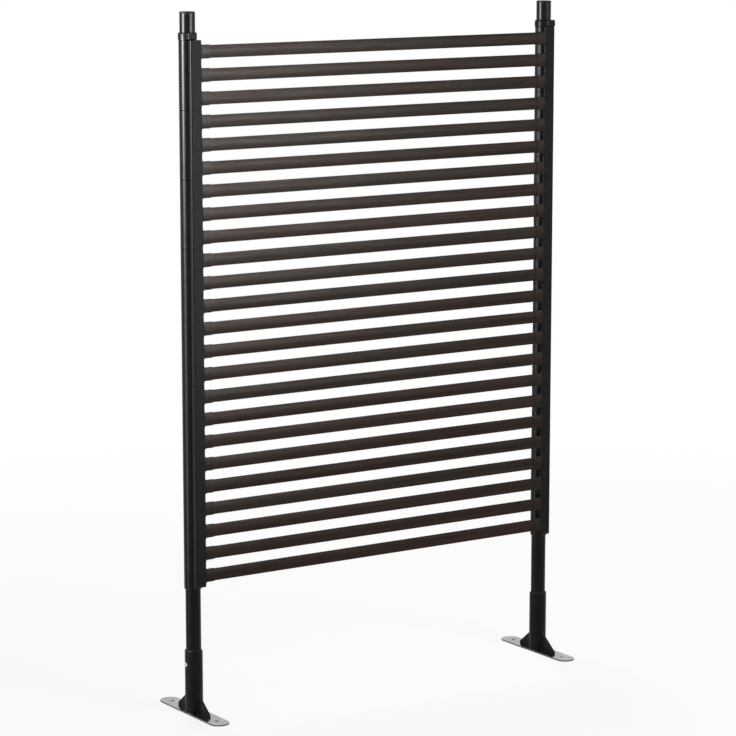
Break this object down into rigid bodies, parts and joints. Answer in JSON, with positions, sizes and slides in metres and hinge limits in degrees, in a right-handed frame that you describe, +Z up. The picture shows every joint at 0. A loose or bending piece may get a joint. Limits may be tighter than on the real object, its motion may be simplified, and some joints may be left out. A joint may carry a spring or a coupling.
{
  "type": "slatted garden fence panel",
  "caption": "Free-standing garden fence panel: crowned horizontal slats held in moulded brackets on round posts, each standing in a ribbed foot on a round-ended base plate.",
  "frame": {"origin": "on the ground, midway between the axes of the two posts", "axes": "+X along the fence towards the right post, +Y away from the side that carries the slats, +Z up"},
  "size_m": [1, 0.26, 1.55],
  "materials": {
    "slat_composite": "dark brown wood-plastic composite with a fine lengthwise grain, satin",
    "bracket_resin": "moulded charcoal resin with a fine grained skin",
    "post_paint": "black powder coat on steel tube, semi-gloss",
    "cap_resin": "moulded charcoal resin, satin",
    "foot_paint": "black powder coat on a casting, satin",
    "plate_steel": "bright zinc-plated steel, smooth",
    "screw_steel": "zinc-plated steel"
  },
  "bodies": {
    "panel": {"slat_01": "slat_composite", "slat_02": "slat_composite", "slat_03": "slat_composite", "slat_04": "slat_composite", "slat_05": "slat_composite", "slat_06": "slat_composite", "slat_07": "slat_composite", "slat_08": "slat_composite", "slat_09": "slat_composite", "slat_10": "slat_composite", "slat_11": "slat_composite", "slat_12": "slat_composite", "slat_13": "slat_composite", "slat_14": "slat_composite", "slat_15": "slat_composite", "slat_16": "slat_composite", "slat_17": "slat_composite", "slat_18": "slat_composite", "slat_19": "slat_composite", "slat_20": "slat_composite", "slat_21": "slat_composite", "slat_22": "slat_composite", "slat_23": "slat_composite", "slat_24": "slat_composite", "left_bracket_1": "bracket_resin", "left_bracket_2": "bracket_resin", "left_bracket_3": "bracket_resin", "left_bracket_4": "bracket_resin", "left_bracket_5": "bracket_resin", "left_bracket_6": "bracket_resin", "left_bracket_7": "bracket_resin", "left_bracket_8": "bracket_resin", "left_top_collar": "bracket_resin", "right_bracket_1": "bracket_resin", "right_bracket_2": "bracket_resin", "right_bracket_3": "bracket_resin", "right_bracket_4": "bracket_resin", "right_bracket_5": "bracket_resin", "right_bracket_6": "bracket_resin", "right_bracket_7": "bracket_resin", "right_bracket_8": "bracket_resin", "right_top_collar": "bracket_resin"},
    "left_post": {"left_post_tube": "post_paint", "left_post_cap": "cap_resin", "left_stop_ring": "bracket_resin", "left_stop_screw": "screw_steel", "left_foot_socket": "foot_paint", "left_base_plate": "plate_steel", "left_lock_screw": "screw_steel", "left_base_screws": "screw_steel"},
    "right_post": {"right_post_tube": "post_paint", "right_post_cap": "cap_resin", "right_stop_ring": "bracket_resin", "right_stop_screw": "screw_steel", "right_foot_socket": "foot_paint", "right_base_plate": "plate_steel", "right_lock_screw": "screw_steel", "right_base_screws": "screw_steel"}
  },
  "joints": [
    {"name": "left_post_turn", "type": "hinge", "parent": "panel", "child": "left_post", "pos_m": [-0.4775, 0, 0], "axis": [0, 0, 1], "continuous": true},
    {"name": "right_post_turn", "type": "hinge", "parent": "panel", "child": "right_post", "pos_m": [0.4775, 0, 0], "axis": [0, 0, 1], "continuous": true}
  ]
}
